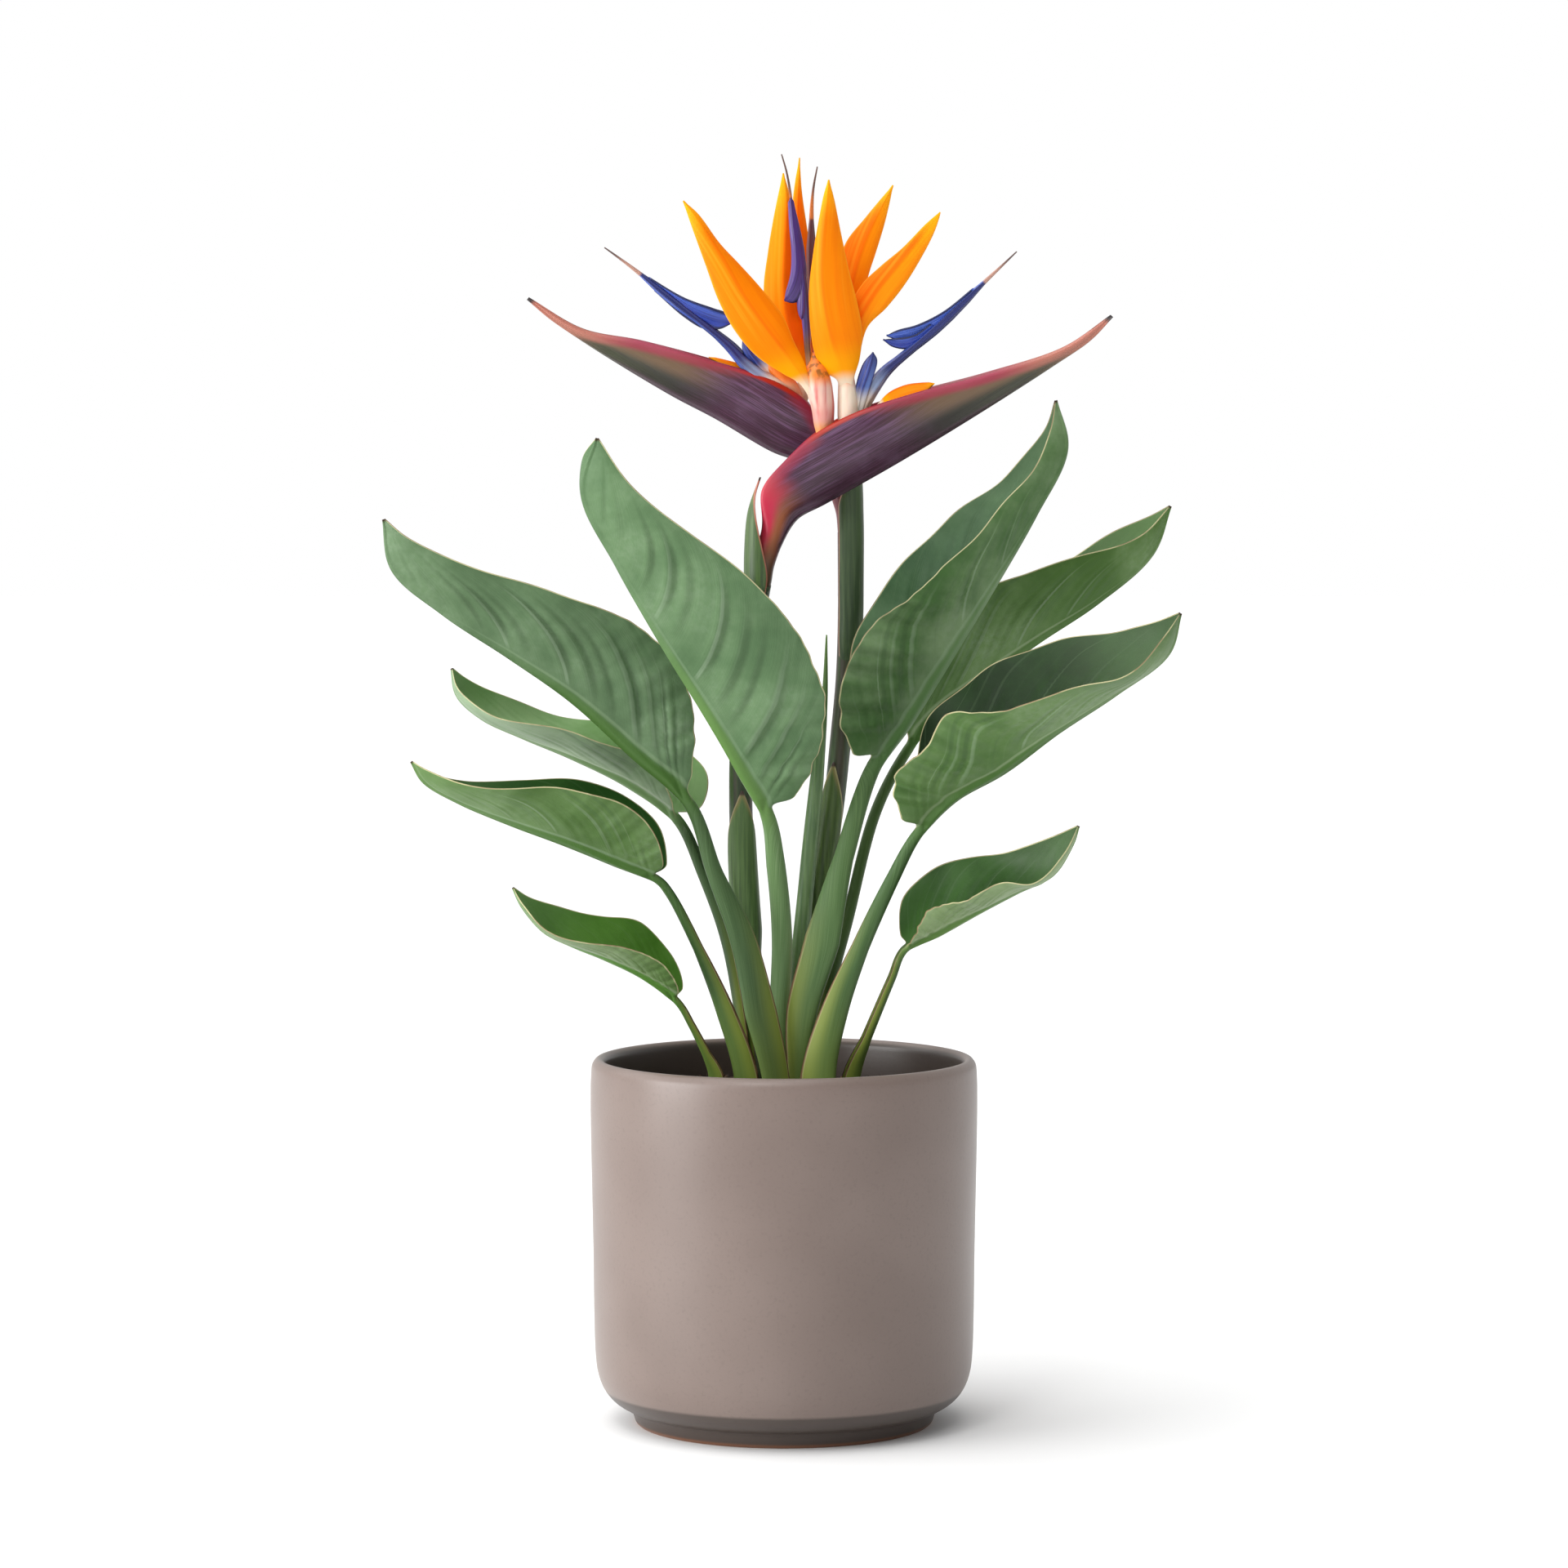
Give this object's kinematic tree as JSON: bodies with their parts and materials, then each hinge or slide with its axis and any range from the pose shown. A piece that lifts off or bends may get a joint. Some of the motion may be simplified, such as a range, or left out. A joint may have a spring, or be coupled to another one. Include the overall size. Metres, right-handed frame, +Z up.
{
  "type": "potted bird of paradise",
  "caption": "Potted bird of paradise: boat-shaped leaves and two beaked flower heads with orange sepals and blue petals, in a straight-sided glazed pot.",
  "frame": {"origin": "centre of the pot's underside, on the surface it stands on", "axes": "+Z up, -Y towards the plant's front, +X to the right of someone who looks at its front"},
  "size_m": [0.3916, 0.2091, 0.6236],
  "materials": {
    "glazed pot": "satin",
    "potting soil": "matte",
    "leaf": "satin",
    "flower stalk": "satin",
    "spathe": "satin",
    "sepal": "satin",
    "floral tube": "satin",
    "blue petal": "satin"
  },
  "bodies": {
    "root": {"pot": "glazed pot", "soil": "potting soil", "leaf_left_upper": "leaf", "leaf_centre": "leaf", "leaf_left_middle": "leaf", "leaf_left_lower": "leaf", "leaf_left_small": "leaf", "leaf_right_upper": "leaf", "leaf_right_back": "leaf", "leaf_right_middle": "leaf", "leaf_right_small": "leaf", "leaf_spear": "leaf", "stalk_left": "flower stalk", "stalk_right": "flower stalk", "bract_left_upper": "flower stalk", "bract_left_lower": "flower stalk", "bract_right_upper": "flower stalk", "bract_right_lower": "flower stalk", "spathe_front": "spathe", "spathe_back": "spathe", "floral_tube_pink": "floral tube", "floral_tube_cream": "floral tube", "floral_tube_back": "floral tube", "sepal_front_left": "sepal", "sepal_centre_left": "sepal", "sepal_back": "sepal", "sepal_front_right": "sepal", "sepal_right_upper": "sepal", "sepal_right_lower": "sepal", "sepal_bud_left": "sepal", "sepal_bud_right": "sepal", "petal_left": "blue petal", "petal_right": "blue petal", "arrow_left": "blue petal", "arrow_centre": "blue petal", "arrow_right": "blue petal", "arrow_back": "blue petal"}
  },
  "joints": []
}
